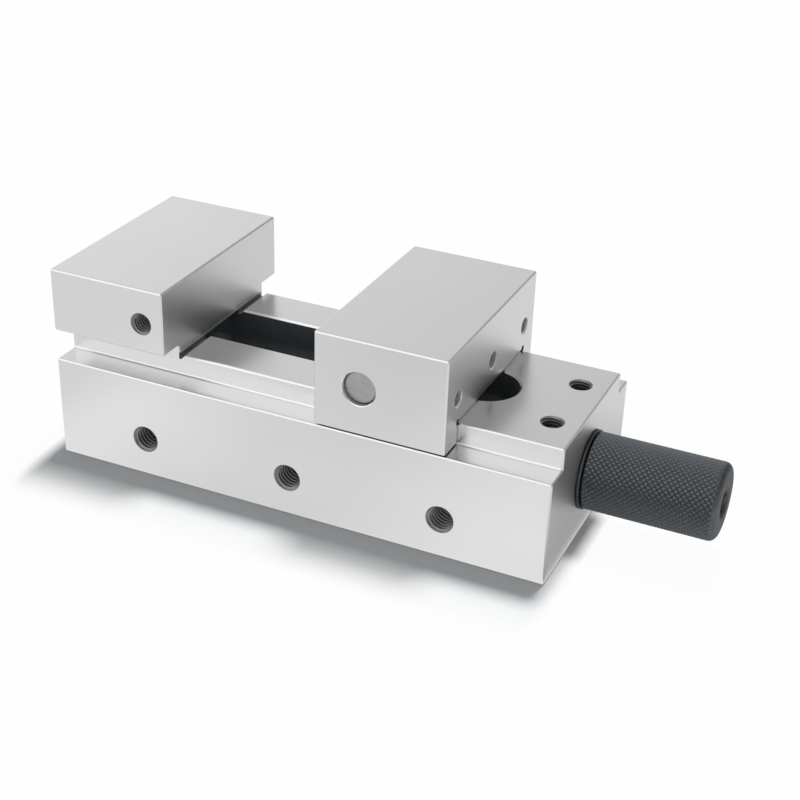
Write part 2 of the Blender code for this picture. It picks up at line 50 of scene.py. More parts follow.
# what all pieces share
shop = {
    "overrun": 1 * mm,      # how far a cutter runs past the face that it cuts
    "weld": 0.0004 * mm,    # points closer than this become one
    "roundSteps": 96,       # facets round a turned piece
    "threadSteps": 48,      # facets round a thread
    "cornerSteps": 12,      # facets round a quarter turn
    "easeSteps": 3,         # facets round a turned piece's eased corner
    "edgeSteps": 3,         # facets across a broken edge
    "edgeAngle": 30,        # edges sharper than this get broken, in degrees
    "edgeProfile": 0.4,     # how round a broken edge is, where 0.5 is a true arc
    "sharpAngle": 34,       # edges sharper than this stay crisp, in degrees
    "flatWeight": 80,       # how much the flats win over the broken edges beside them
}
noiseDetail = {"soft": 2.0, "plain": 3.0, "sharp": 4.0, "harsh": 5.0}

# turns that point a piece's own Z up, along the vise and back, out of its near or far side, and down
upright = (0, 0, 0)
alongVise = (0, math.pi / 2, 0)
againstVise = (0, -math.pi / 2, 0)
outNear = (math.pi / 2, 0, 0)
outFar = (-math.pi / 2, 0, 0)
downward = (math.pi, 0, 0)

bodyOfNode = {
    node: body
    for body, nodes in frame["record"]["behaviour"]["bodies"].items()
    for node in nodes
}


# Finishes

def addNode(tree, kind, wires=None, out=0, **settings):
    node = tree.nodes.new("ShaderNode" + kind)
    for name, value in settings.items():
        setattr(node, name, value)
    for name, value in (wires or {}).items():
        if isinstance(value, bpy.types.NodeSocket):
            tree.links.new(value, node.inputs[name])
        else:
            node.inputs[name].default_value = value
    return node.outputs[out]


def newFinish(name, metallic, edgeTint=1.0):
    finish = bpy.data.materials.new(name)
    finish.use_nodes = True
    shader = finish.node_tree.nodes["Principled BSDF"]
    shader.inputs["Metallic"].default_value = metallic
    shader.inputs["Specular Tint"].default_value = (edgeTint,) * 3 + (1,)
    return finish, finish.node_tree, shader


def ownPlace(tree, out="Object"):
    return addNode(tree, "TexCoord", out=out)


def grain(tree, place, size, detail="plain"):
    # soft noise whose blobs measure about size, one length or one for each axis
    sizes = size if isinstance(size, tuple) else (size, size, size)
    spread = addNode(tree, "Mapping", {"Vector": place, "Scale": [1 / length for length in sizes]})
    return addNode(tree, "TexNoise", {"Vector": spread, "Scale": 1.0, "Detail": noiseDetail[detail]})


def scaled(tree, value, low, high, fromLow=0.3, fromHigh=0.7):
    wires = {"Value": value, "From Min": fromLow, "From Max": fromHigh, "To Min": low, "To Max": high}
    return addNode(tree, "MapRange", wires)


def sums(tree, operation, first, second):
    return addNode(tree, "Math", {0: first, 1: second}, operation=operation)


def vectors(tree, operation, first, second):
    return addNode(tree, "VectorMath", {0: first, 1: second}, operation=operation)


def lengthOf(tree, vector):
    return addNode(tree, "VectorMath", {0: vector}, out="Value", operation="LENGTH")


def partOf(tree, vector, axis):
    return addNode(tree, "SeparateXYZ", {0: vector}, out=axis)


def blended(tree, share, first, second):
    # the first value, with this share of the second in it
    return addNode(tree, "Mix", {0: share, 2: first, 3: second}, data_type="FLOAT")


def mixed(tree, share, first, second):
    # the same for colours
    return addNode(tree, "Mix", {0: share, 6: (*first, 1), 7: (*second, 1)}, out=2, data_type="RGBA")


def relief(tree, shader, height, depth):
    bump = addNode(tree, "Bump", {"Height": height, "Strength": 1.0, "Distance": depth})
    tree.links.new(bump, shader.inputs["Normal"])


def coat(tree, shader, look, noise, height, rougher=0.0):
    # the noise takes the look from light to dark and from smooth to rough, the height makes the relief
    colour = mixed(tree, scaled(tree, noise, 0, 1), look["light"], look["dark"])
    rough = sums(tree, "ADD", scaled(tree, noise, *look["roughness"]), rougher)
    tree.links.new(colour, shader.inputs["Base Color"])
    tree.links.new(rough, shader.inputs["Roughness"])
    relief(tree, shader, height, look["depth"])


groundLook = {
    "light": (0.785, 0.777, 0.78),
    "dark": (0.765, 0.757, 0.76),
    "roughness": (0.23, 0.27),
    "endRoughness": 0.17,       # added on the faces that look along the vise
    "endFacing": 0.7,           # which are those whose normal leans this far that way
    "lineSpacing": 0.16 * mm,
    "lineLength": 40 * mm,
    "depth": 0.0003 * mm,
    "patchSize": 24 * mm,
    "patchShare": 0.4,
}


def groundFinish(name, look):
    # surface ground: fine lines along the vise, and across it on the faces that look along it
    finish, tree, shader = newFinish(name, 1.0)
    place = ownPlace(tree)
    fine, long = look["lineSpacing"], look["lineLength"]
    lengthwise = grain(tree, place, (long, fine, fine), "sharp")
    crosswise = grain(tree, place, (fine, long, fine), "sharp")
    facing = partOf(tree, ownPlace(tree, "Normal"), 0)
    endOn = sums(tree, "GREATER_THAN", sums(tree, "ABSOLUTE", facing, 0), look["endFacing"])
    lines = blended(tree, endOn, lengthwise, crosswise)
    patches = grain(tree, place, look["patchSize"], "soft")
    noise = blended(tree, look["patchShare"], lines, patches)
    coat(tree, shader, look, noise, lines, sums(tree, "MULTIPLY", endOn, look["endRoughness"]))
    return finish


turnedLook = {
    "light": (0.48, 0.475, 0.48),
    "dark": (0.38, 0.375, 0.38),
    "roughness": (0.34, 0.46),
    "ringSpacing": 0.16 * mm,
    "depth": 0.002 * mm,
}
# near-black steel: on the thrust washer this is painted shade for the shade round the knob; it also colours
# the knob's socket mouth
darkSteelLook = {
    "light": (0.12, 0.12, 0.124),
    "dark": (0.075, 0.075, 0.078),
    "roughness": (0.40, 0.55),
    "ringSpacing": 0.14 * mm,
    "depth": 0.002 * mm,
}
bronzeLook = {
    "light": (0.72, 0.50, 0.26),
    "dark": (0.54, 0.35, 0.16),
    "roughness": (0.26, 0.40),
    "ringSpacing": 0.18 * mm,
    "depth": 0.003 * mm,
}
oxideLook = {
    "light": (0.155, 0.162, 0.170),
    "dark": (0.105, 0.110, 0.117),
    "roughness": (0.40, 0.54),
    "ringSpacing": 0.20 * mm,
    "depth": 0.002 * mm,
}
ringSpots = {"size": 1.6 * mm, "share": 0.5}


def fromAxis(tree, place):
    # how far a spot is from the piece's own Z
    return lengthOf(tree, vectors(tree, "MULTIPLY", place, (1, 1, 0)))


def turnedFinish(name, look, edgeTint=1.0):
    # rings round the piece's own Z: on its ends they follow the radius, on its sides the height
    finish, tree, shader = newFinish(name, 1.0, edgeTint)
    place = ownPlace(tree)
    height = partOf(tree, place, 2)
    where = sums(tree, "DIVIDE", sums(tree, "ADD", fromAxis(tree, place), height), look["ringSpacing"])
    rings = addNode(tree, "TexNoise", {"W": where, "Scale": 1.0, "Detail": noiseDetail["soft"]},
                    noise_dimensions="1D")
    spots = grain(tree, place, ringSpots["size"], "sharp")
    coat(tree, shader, look, blended(tree, ringSpots["share"], rings, spots), rings)
    return finish


# painted shade: the walls of the slot, the channel and the tongue pocket are coloured dark for the shade
# inside them
slotShadeLook = {
    "light": (0.205, 0.228, 0.243),
    "dark": (0.115, 0.130, 0.142),
    "roughness": (0.50, 0.70),
    "grainSize": 0.5 * mm,
    "depth": 0.01 * mm,
}
# painted shade: bores, tapped holes and the relief groove are coloured darker than the ground steel for the
# shade inside them
boreShadeLook = {
    "light": (0.34, 0.34, 0.345),
    "dark": (0.20, 0.20, 0.207),
    "roughness": (0.32, 0.5),
    "grainSize": 0.25 * mm,
    "depth": 0.006 * mm,
}
# painted light: the cross pin's hole and the lock holes are coloured near white for the light that falls on
# their walls
boreLightLook = {
    "light": (0.92, 0.92, 0.93),
    "dark": (0.78, 0.78, 0.79),
    "roughness": (0.30, 0.42),
    "grainSize": 0.25 * mm,
    "depth": 0.004 * mm,
}
blockLook = {
    "light": (0.20, 0.205, 0.21),
    "dark": (0.11, 0.115, 0.12),
    "roughness": (0.36, 0.55),
    "grainSize": 0.7 * mm,
    "depth": 0.006 * mm,
}
patchShare = 0.5
patchGrains = 12            # how many grains long a patch is


def grainedFinish(name, look, metallic=1.0):
    # a skin with an even fine grain: painted dark for the shade inside the slot, painted darker for the
    # shade or lighter for the light inside bores, or milled
    finish, tree, shader = newFinish(name, metallic)
    place = ownPlace(tree)
    fine = grain(tree, place, look["grainSize"], "harsh")
    patches = grain(tree, place, patchGrains * look["grainSize"], "soft")
    coat(tree, shader, look, blended(tree, patchShare, fine, patches), fine)
    return finish


knurlLook = {
    "tip": (0.153, 0.166, 0.178),
    "root": (0.112, 0.122, 0.132),
    "metallic": 0.1,
    "roughness": (0.48, 0.60),
    "grainSize": 0.18 * mm,
    "depth": 0.004 * mm,
    "wearSize": 5 * mm,
    "leastWear": 0.7,
}


def knurlOxide(tipRadius, rootRadius):
    # black oxide that the hand has rubbed lighter on the knurl's tips
    look = knurlLook
    finish, tree, shader = newFinish("knurlOxide", look["metallic"])
    place = ownPlace(tree)
    fine = grain(tree, place, look["grainSize"], "sharp")
    wear = grain(tree, place, look["wearSize"], "soft")
    rubbed = scaled(tree, fromAxis(tree, place), 0, 1, rootRadius, tipRadius)
    uneven = sums(tree, "MULTIPLY", rubbed, scaled(tree, wear, look["leastWear"], 1.0))
    tree.links.new(mixed(tree, uneven, look["root"], look["tip"]), shader.inputs["Base Color"])
    tree.links.new(scaled(tree, fine, *look["roughness"]), shader.inputs["Roughness"])
    relief(tree, shader, fine, look["depth"])
    return finish


steel = groundFinish("groundSteel", groundLook)
turnedSteel = turnedFinish("turnedSteel", turnedLook)
bronze = turnedFinish("turnedBronze", bronzeLook)
darkSteel = turnedFinish("darkSteel", darkSteelLook)
blackOxide = turnedFinish("blackOxide", oxideLook, edgeTint=0.6)
slotShadeSkin = grainedFinish("slotShadeSkin", slotShadeLook, metallic=0.4)
boreShadeSteel = grainedFinish("boreShadeSteel", boreShadeLook, metallic=0.6)
boreLightSteel = grainedFinish("boreLightSteel", boreLightLook, metallic=0.4)
milledBlock = grainedFinish("milledBlock", blockLook)
print("finishes ready")


# Shapes

def toScene(name, shape, finish, place=(0, 0, 0), turn=upright):
    bmesh.ops.remove_doubles(shape, verts=shape.verts, dist=shop["weld"])
    mesh = bpy.data.meshes.new(name)
    shape.to_mesh(mesh)
    shape.free()
    mesh.materials.append(finish)
    made = bpy.data.objects.new(name, mesh)
    made.location = place
    made.rotation_euler = turn
    bpy.context.scene.collection.objects.link(made)
    return made


def block(name, x, y, z, finish):
    shape = bmesh.new()
    bmesh.ops.create_cube(shape, size=1)
    middle = (sum(x) / 2, sum(y) / 2, sum(z) / 2)
    size = (x[1] - x[0], y[1] - y[0], z[1] - z[0])
    shape.transform(Matrix.LocRotScale(middle, None, size))
    return toScene(name, shape, finish)


def skin(shape, lower, upper):
    # the faces between two loops of points
    for i in range(len(lower)):
        j = (i + 1) % len(lower)
        shape.faces.new((lower[i], lower[j], upper[j], upper[i]))


def bar(name, outline, y, finish):
    # a bar across the vise whose section is an outline of (along, up) points
    shape = bmesh.new()
    near, far = ([shape.verts.new((along, end, up)) for along, up in outline] for end in y)
    skin(shape, near, far)
    shape.faces.new(near)
    shape.faces.new(far)
    bmesh.ops.recalc_face_normals(shape, faces=shape.faces)
    return toScene(name, shape, finish)


def roundedOutline(x, y, corner, out):
    # a rectangle with round corners, out further on every side
    points = []
    for quarter, (atX, atY) in enumerate((
        (x[1] - corner, y[1] - corner),
        (x[0] + corner, y[1] - corner),
        (x[0] + corner, y[0] + corner),
        (x[1] - corner, y[0] + corner),
    )):
        for step in range(shop["cornerSteps"] + 1):
            angle = (quarter + step / shop["cornerSteps"]) * math.pi / 2
            points.append((atX + (corner + out) * math.cos(angle), atY + (corner + out) * math.sin(angle)))
    return points


def pocket(name, x, y, corner, levels, finish):
    # a milled pocket: each level is a height and how far the outline stands out there
    shape = bmesh.new()
    loops = []
    for height, out in levels:
        loops.append([shape.verts.new((*point, height)) for point in roundedOutline(x, y, corner, out)])
    for lower, upper in zip(loops, loops[1:]):
        skin(shape, lower, upper)
    shape.faces.new(list(reversed(loops[0])))
    shape.faces.new(loops[-1])
    return toScene(name, shape, finish)


def eased(profile, size):
    # the same profile with each inner corner rounded off
    steps = shop["easeSteps"]
    soft = [profile[0]]
    for before, corner, after in zip(profile, profile[1:], profile[2:]):
        corner = Vector(corner)
        toBefore, toAfter = Vector(before) - corner, Vector(after) - corner
        reach = min(size, toBefore.length / 3, toAfter.length / 3)
        start = corner + toBefore.normalized() * reach
        end = corner + toAfter.normalized() * reach
        for step in range(steps + 1):
            share = step / steps
            soft.append(tuple(start.lerp(corner, share).lerp(corner.lerp(end, share), share)))
    soft.append(profile[-1])
    return soft


def turned(name, profile, finish, place, turn, ring=False, steps=None):
    # a lathe piece: the profile lists (radius, height) down its outer side
    steps = steps or shop["roundSteps"]
    shape = bmesh.new()
    rows = []
    for radius, height in profile:
        if radius < shop["weld"]:
            rows.append([shape.verts.new((0, 0, height))] * steps)
            continue
        angles = [2 * math.pi * step / steps for step in range(steps)]
        rows.append([shape.verts.new((radius * math.cos(a), radius * math.sin(a), height)) for a in angles])
    for upper, lower in zip(rows, rows[1:] + (rows[:1] if ring else [])):
        for i in range(steps):
            j = (i + 1) % steps
            corners = list(dict.fromkeys((upper[i], lower[i], lower[j], upper[j])))
            if len(corners) > 2:
                shape.faces.new(corners)
    return toScene(name, shape, finish, place, turn)


def bore(radius, top, bottom, finish, place, turn, steps=None):
    # a plain round cutter between two heights
    profile = [(0, top), (radius, top), (radius, bottom), (0, bottom)]
    return turned("bore", profile, finish, place, turn, steps=steps)


def countersink(rim, finish, place, turn, steps=None):
    # a cone of 45 degrees into the face at height 0, with this radius there
    out = shop["overrun"]
    return turned("countersink", [(0, out), (rim + out, out), (0, -rim)], finish, place, turn, steps=steps)


# share of the pitch at which a thread's root ends, its crest starts and ends, and its root starts again
flankShares = (0.125, 0.4375, 0.5625, 0.875)
threadDepthShare = 0.6
runoutShare = 0.1           # how far a thread's ends go below its root, as a share of its depth


def threaded(name, radius, pitch, low, high, finish, place, turn, hand=1, endRadii=None):
    # a threaded rod about its own Z: hand 1 is a right-hand thread, -1 a left-hand one
    steps = shop["threadSteps"]
    depth = pitch * threadDepthShare
    root = radius - depth
    below = root - runoutShare * depth
    lowEnd, highEnd = endRadii or (below, below)

    def radiusAt(height, turns):
        share = ((height - low) / pitch - turns) % 1
        if share < flankShares[0] or share > flankShares[3]:
            bare = root
        elif share < flankShares[1]:
            bare = root + depth * (share - flankShares[0]) / (flankShares[1] - flankShares[0])
        elif share < flankShares[2]:
            bare = radius
        else:
            bare = radius - depth * (share - flankShares[2]) / (flankShares[3] - flankShares[2])
        return min(bare, lowEnd + height - low, highEnd + high - height)

    shape = bmesh.new()
    rows = []
    for whole in range(-1, math.ceil((high - low) / pitch) + 2):
        for share in flankShares:
            row = []
            for step in range(steps + 1):
                turns = hand * step / steps
                height = min(max(low + (whole + share + turns) * pitch, low), high)
                angle = 2 * math.pi * step / steps
                reach = radiusAt(height, turns)
                row.append(shape.verts.new((reach * math.cos(angle), reach * math.sin(angle), height)))
            rows.append(row)
    for lower, upper in zip(rows, rows[1:]):
        for i in range(steps):
            shape.faces.new((lower[i], lower[i + 1], upper[i + 1], upper[i]))
    bmesh.ops.remove_doubles(shape, verts=shape.verts, dist=shop["weld"])
    bmesh.ops.holes_fill(shape, edges=[edge for edge in shape.edges if edge.is_boundary], sides=0)
    bmesh.ops.recalc_face_normals(shape, faces=shape.faces)
    return toScene(name, shape, finish, place, turn)


def hexagon(name, acrossFlats, low, high, finish, place, turn):
    shape = bmesh.new()
    corner = acrossFlats / math.sqrt(3)
    bmesh.ops.create_cone(shape, cap_ends=True, segments=6, radius1=corner, radius2=corner, depth=high - low)
    shape.transform(Matrix.Translation((0, 0, (low + high) / 2)))
    return toScene(name, shape, finish, place, turn)


# Tools

def settle(piece):
    # makes the piece's modifiers part of its mesh
    drawn = piece.evaluated_get(bpy.context.evaluated_depsgraph_get())
    mesh = bpy.data.meshes.new_from_object(drawn)
    piece.modifiers.clear()
    piece.data = mesh


def combine(piece, tools, operation, solver):
    for tool in tools:
        step = piece.modifiers.new("step", "BOOLEAN")
        step.operation = operation
        step.solver = solver
        step.material_mode = "TRANSFER"
        step.object = tool
    bpy.context.view_layer.update()
    settle(piece)
    for tool in tools:
        bpy.data.objects.remove(tool)


def cut(piece, *tools, solver="MANIFOLD"):
    combine(piece, tools, "DIFFERENCE", solver)


def weldOn(piece, *others, solver="MANIFOLD"):
    combine(piece, others, "UNION", solver)


def breakEdges(piece, width, steps=shop["edgeSteps"], above=shop["edgeAngle"]):
    step = piece.modifiers.new("edges", "BEVEL")
    step.limit_method = "ANGLE"
    step.angle_limit = math.radians(above)
    step.width = width
    step.segments = steps
    step.profile = shop["edgeProfile"]
    settle(piece)


def shade(piece):
    # smooth round faces, crisp edges, and flats that stay flat beside their broken edges
    piece.data.shade_smooth()
    piece.data.set_sharp_from_angle(angle=math.radians(shop["sharpAngle"]))
    step = piece.modifiers.new("flats", "WEIGHTED_NORMAL")
    step.keep_sharp = True
    step.weight = shop["flatWeight"]
    settle(piece)


def fit(piece, node):
    # the piece takes the CAD node's place, and moves with its body
    shade(piece)
    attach(piece, bodyOfNode[node])
    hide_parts(node)


drillPointShare = 0.6       # a drill point's height as a share of its radius
insideBore = 0.05 * mm      # how far inside its bore a tap ends


def drill(radius, depth, mouth, place, turn, finish, point):
    # a blind hole's cutter, with a chamfered mouth at height 0 and a drill point
    out = shop["overrun"]
    profile = [(0, out), (radius + mouth + out, out), (radius, -mouth), (radius, -depth),
               (0, -depth - radius * point)]
    return turned("drill", profile, finish, place, turn, steps=shop["threadSteps"])


def tap(boreRadius, pitch, depth, place, turn, finish):
    # the thread that a tap cuts into a bore, running out before the bore's end
    crest = boreRadius + pitch * threadDepthShare
    ends = (boreRadius - insideBore, crest + pitch)
    return threaded("tap", crest, pitch, -depth, shop["overrun"], finish, place, turn, endRadii=ends)


def tapHole(piece, hole, depth, tapped, place, turn, finish, point=0):
    # a drilled hole, with a thread over this much of its depth
    cut(piece, drill(hole["radius"], depth, hole["mouth"], place, turn, finish, point))
    cut(piece, tap(hole["radius"], hole["pitch"], tapped, place, turn, finish))


# Body

bodySizes = {
    "ledge": 24.2 * mm,          # height of the ledges that the jaw's skirts pass over
    "railHeight": 4.9 * mm,
    "grooveDepth": 6.4 * mm,     # from the body's side to the rail
    "fixedJaw": 28.5 * mm,
    "overhang": 2.1 * mm,        # the fixed jaw's side hangs this far above the rails' top
    "edge": 0.45 * mm,
    "reliefWidth": 1.4 * mm,
    "reliefDepth": 1.2 * mm,
    "reliefSlope": 1.15 * mm,
    "reliefUndercut": 0.3 * mm,
    "reliefRound": 0.12 * mm,
}
slotSizes = {
    "width": 14.8 * mm,
    "underJaw": 7.5 * mm,
    "endWall": 17 * mm,
    "mouth": 0.4 * mm,
    "railThickness": 6.5 * mm,
    "channelShoulder": 4.5 * mm,
    "channelUnderJaw": 8.5 * mm,
    "channelPastSlot": 0.5 * mm,
    "channelCorner": 4 * mm,
    "channelMouth": 0.6 * mm,
}
sideHoles = {
    "radius": 2.55 * mm,
    "pitch": 1.0 * mm,
    "mouth": 0.65 * mm,
    "depth": 10 * mm,
    "threadShare": 0.85,         # how much of the depth is tapped
    "height": 9.1 * mm,
    "first": 22.5 * mm,
    "spacing": 35.9 * mm,
    "perSide": 3,
}
stopHoles = {
    "radius": 2.1 * mm,
    "pitch": 0.8 * mm,
    "mouth": 0.5 * mm,
    "depth": 9 * mm,
    "threadShare": 0.85,
    "fromFace": 5.5 * mm,
    "aboveRail": 8.8 * mm,
}
endBores = {
    "height": 14.6 * mm,
    "journal": 7.7 * mm,
    "bushSeat": 5.05 * mm,
    "bushDepth": 8.2 * mm,
    "keeperRadius": 2.1 * mm,
    "keeperPitch": 0.8 * mm,
    "keeperMouth": 0.5 * mm,
    "keeperRoom": 0.1 * mm,      # round the keeper pin
    "keeperBelow": 0.2 * mm,     # and under it
    "keeperTapPast": 0.3 * mm,   # how far the thread runs past the plug
}


def onAxis(along):
    # the place on the screw's axis that is this far along the vise
    return (along, 0, endBores["height"])


bodyLow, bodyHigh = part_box("body")
railTop = bodySizes["ledge"] + bodySizes["railHeight"]
fixedFace = bodyLow.x + bodySizes["fixedJaw"]
slotEnd = bodyHigh.x - slotSizes["endWall"]
channelStart = fixedFace - slotSizes["channelUnderJaw"]
channelHalf = slotSizes["width"] / 2 + slotSizes["channelShoulder"]
channelRoof = railTop - slotSizes["railThickness"]


def makeBody():
    out = shop["overrun"]
    sizes = bodySizes
    wide = (bodyLow.y - out, bodyHigh.y + out)
    whole = [(low, high) for low, high in zip(bodyLow, bodyHigh)]
    body = block("groundBody", *whole, steel)
    lengthwise = (bodyLow.x - out, bodyHigh.x + out)
    upward = (sizes["ledge"], railTop + sizes["overhang"])
    cut(
        body,
        block("aboveRails", (fixedFace, lengthwise[1]), wide, (railTop, bodyHigh.z + out), steel),
        block("grooveNear", lengthwise, (wide[0], bodyLow.y + sizes["grooveDepth"]), upward, steel),
        block("grooveFar", lengthwise, (bodyHigh.y - sizes["grooveDepth"], wide[1]), upward, steel),
        solver="EXACT",
    )
    breakEdges(body, sizes["edge"])
    undercut, slope = sizes["reliefUndercut"], sizes["reliefSlope"]
    left, right = fixedFace - undercut, fixedFace + sizes["reliefWidth"]
    top, bottom = railTop + undercut, railTop - sizes["reliefDepth"]
    # the relief groove takes the darker painted-shade bore colour
    reliefCutter = bar("relief", [
        (left, top), (right, top), (right, bottom + slope), (right - slope, bottom), (left, bottom),
    ], wide, boreShadeSteel)
    breakEdges(reliefCutter, sizes["reliefRound"])
    cut(body, reliefCutter)
    cutSlot(body)
    cutEndBores(body)
    cutSideHoles(body)
    fit(body, "body")


def cutSlot(body):
    out, sizes = shop["overrun"], slotSizes
    over = bodySizes["reliefUndercut"]
    half = sizes["width"] / 2
    slot = ((fixedFace - sizes["underJaw"], slotEnd), (-half, half), half)
    channel = ((channelStart, slotEnd + sizes["channelPastSlot"]), (-channelHalf, channelHalf),
               sizes["channelCorner"])
    rim, lowRim = sizes["mouth"], sizes["channelMouth"]
    # the slot and the channel are cut with the painted-shade skin
    cut(body, pocket("channel", *channel, [(-out, 0), (channelRoof, 0)], slotShadeSkin))
    cut(body, pocket("slot", *slot, [(channelRoof - out, 0), (railTop + over, 0)], slotShadeSkin))
    cut(body, pocket("slotRim", *slot, [(railTop - rim, 0), (railTop + over, rim + over)], steel))
    cut(body, pocket("channelRim", *channel, [(-out, lowRim + out), (lowRim, 0)], steel))


def cutEndBores(body):
    out, sizes = shop["overrun"], endBores
    radius, mouth = sizes["journal"], bodySizes["edge"]
    end = -slotSizes["endWall"] - out
    profile = [(0, out), (radius + mouth + out, out), (radius, -mouth), (radius, end), (0, end)]
    cut(body, turned("journalBore", profile, boreShadeSteel, onAxis(bodyHigh.x), alongVise))
    cut(body, bore(sizes["bushSeat"], out, -sizes["bushDepth"], boreShadeSteel, onAxis(channelStart), alongVise))
    radius = sizes["keeperRadius"]
    for side in ("near", "far"):
        pinLow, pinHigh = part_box("keeper_pin_" + side)
        place = (*(pinLow + pinHigh).xy / 2, railTop)
        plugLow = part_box("keeper_plug_" + side)[0]
        cut(body, drill(radius, railTop - pinHigh.z, sizes["keeperMouth"], place, upright, boreShadeSteel,
                        drillPointShare))
        seat = (pinHigh.x - pinLow.x) / 2 + sizes["keeperRoom"]
        cut(body, bore(seat, plugLow.z - railTop, pinLow.z - railTop - sizes["keeperBelow"], boreShadeSteel,
                       place, upright))
        tapped = railTop - plugLow.z + sizes["keeperTapPast"]
        cut(body, tap(radius, sizes["keeperPitch"], tapped, place, upright, boreShadeSteel))


def cutSideHoles(body):
    first, spacing = bodyLow.x + sideHoles["first"], sideHoles["spacing"]
    stop = (fixedFace - stopHoles["fromFace"], railTop + stopHoles["aboveRail"])
    for y, turn in ((bodyLow.y, outNear), (bodyHigh.y, outFar)):
        places = [(sideHoles, (first + number * spacing, y, sideHoles["height"]))
                  for number in range(sideHoles["perSide"])]
        places.append((stopHoles, (stop[0], y, stop[1])))
        for hole, place in places:
            tapHole(body, hole, hole["depth"], hole["threadShare"] * hole["depth"], place, turn, boreShadeSteel,
                    drillPointShare)


# Sliding jaw

jawSizes = {
    "running": 0.06 * mm,       # how far it stands off the rails
    "edge": 0.45 * mm,
    "lowerEdge": 0.1 * mm,      # the skirts' lower edges run close over the ledges
    "lowerSteps": 2,
    "lowerAngle": 60,
    "cornerRelief": 0.8 * mm,
    "tonguePocket": 12.4 * mm,
    "pocketRoom": 0.2 * mm,
    "pinMouth": 0.2 * mm,
    "pinRoom": 0.04 * mm,
}
lockHoles = {
    "radius": 1.65 * mm,
    "pitch": 0.7 * mm,
    "mouth": 0.4 * mm,
}

jawLow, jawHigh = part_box("moving_jaw")
pinLow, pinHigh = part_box("jaw_pin")
pinPlace = (pinLow + pinHigh) / 2
pinRadius = (pinHigh.z - pinLow.z) / 2


def makeSlidingJaw():
    out, sizes = shop["overrun"], jawSizes
    spare = 2 * sizes["edge"]
    floor = jawLow.z - 2 * spare
    jaw = block("slidingJaw", (jawLow.x, jawHigh.x), (jawLow.y, jawHigh.y), (jawLow.z - spare, jawHigh.z),
                steel)
    railHalf = bodyHigh.y - bodySizes["grooveDepth"]
    inner = railHalf + sizes["running"]
    along, wide = (jawLow.x - out, jawHigh.x + out), (jawLow.y - out, jawHigh.y + out)
    roof = railTop + sizes["running"]
    cut(jaw, block("railWay", along, (-inner, inner), (floor, roof), steel), solver="EXACT")
    breakEdges(jaw, sizes["edge"])
    # only now are the skirts cut to their height, so that their lower edges are just broken
    cut(jaw, block("skirtEnds", along, wide, (floor, jawLow.z), steel))
    breakEdges(jaw, sizes["lowerEdge"], sizes["lowerSteps"], sizes["lowerAngle"])
    radius = sizes["cornerRelief"]
    length = jawHigh.x - jawLow.x + out
    for y in (-inner - radius / 4, inner + radius / 4):
        cut(jaw, bore(radius, out, -length, boreShadeSteel, (jawHigh.x, y, roof + radius / 4), alongVise,
                      shop["threadSteps"]))
    half = sizes["tonguePocket"] / 2
    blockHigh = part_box("draw_block")[1]
    slotHalf = slotSizes["width"] / 2
    # the tongue pocket takes the painted-shade skin
    cut(jaw, block("tonguePocket", (pinPlace.x - half, pinPlace.x + half), (-slotHalf, slotHalf),
                   (railTop - out, blockHigh.z + sizes["pocketRoom"]), slotShadeSkin))
    cutPinHole(jaw)
    cutLockHoles(jaw)
    fit(jaw, "moving_jaw")


def cutPinHole(jaw):
    out, mouth = shop["overrun"], jawSizes["pinMouth"]
    radius = pinRadius + jawSizes["pinRoom"]
    half = (jawHigh.y - jawLow.y) / 2
    # the pin hole's wall takes the painted-light bore colour
    cut(jaw, bore(radius, half + out, -half - out, boreLightSteel, pinPlace, outNear))
    profile = [(0, out), (radius + mouth + out, out), (radius, -mouth), (0, -mouth)]
    for y, turn in ((jawLow.y, outNear), (jawHigh.y, outFar)):
        cut(jaw, turned("pinMouth", profile, steel, (pinPlace.x, y, pinPlace.z), turn))


def cutLockHoles(jaw):
    for node in ("pin_lock_screw_near", "tongue_screw", "pin_lock_screw_far"):
        low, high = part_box(node)
        place = (jawHigh.x, (low.y + high.y) / 2, (low.z + high.z) / 2)
        depth = jawHigh.x - low.x
        # the lock holes take the painted-light bore colour
        tapHole(jaw, lockHoles, depth, depth, place, alongVise, boreLightSteel)


# Cross pin, keeper pins and washer

pinSizes = {"edge": 0.35 * mm, "ease": 0.08 * mm}


def makePin(name, node, radius, half, place, turn):
    edge = pinSizes["edge"]
    profile = [(0, half), (radius - edge, half), (radius, half - edge), (radius, edge - half),
               (radius - edge, -half), (0, -half)]
    fit(turned(name, eased(profile, pinSizes["ease"]), turnedSteel, place, turn), node)


def makePins():
    makePin("crossPin", "jaw_pin", pinRadius, (pinHigh.y - pinLow.y) / 2, pinPlace, outNear)
    for side in ("Near", "Far"):
        low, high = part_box("keeper_pin_" + side.lower())
        makePin("keeperPin" + side, "keeper_pin_" + side.lower(), (high.x - low.x) / 2, (high.z - low.z) / 2,
                (low + high) / 2, upright)


# Grub screws

grubSizes = {
    "pocketShare": 0.5,      # the socket's depth as a share of the screw's length
    "mouth": 0.15 * mm,
    "cupShare": 0.55,        # the cup point's width as a share of the screw's
    "cupDepthShare": 0.9,    # and its depth as a share of half its width
    "lockSocket": 2.5 * mm,
    "plugSocket": 3 * mm,
    "nutSocket": 1.5 * mm,
    "drilledShare": 0.98,    # the drilled bottom's width as a share of the socket's
    "flatsShare": 0.8,       # where that bottom starts, as a share of the socket's depth
}
keyConeShare = 0.5           # the cone under it, as a share of its radius


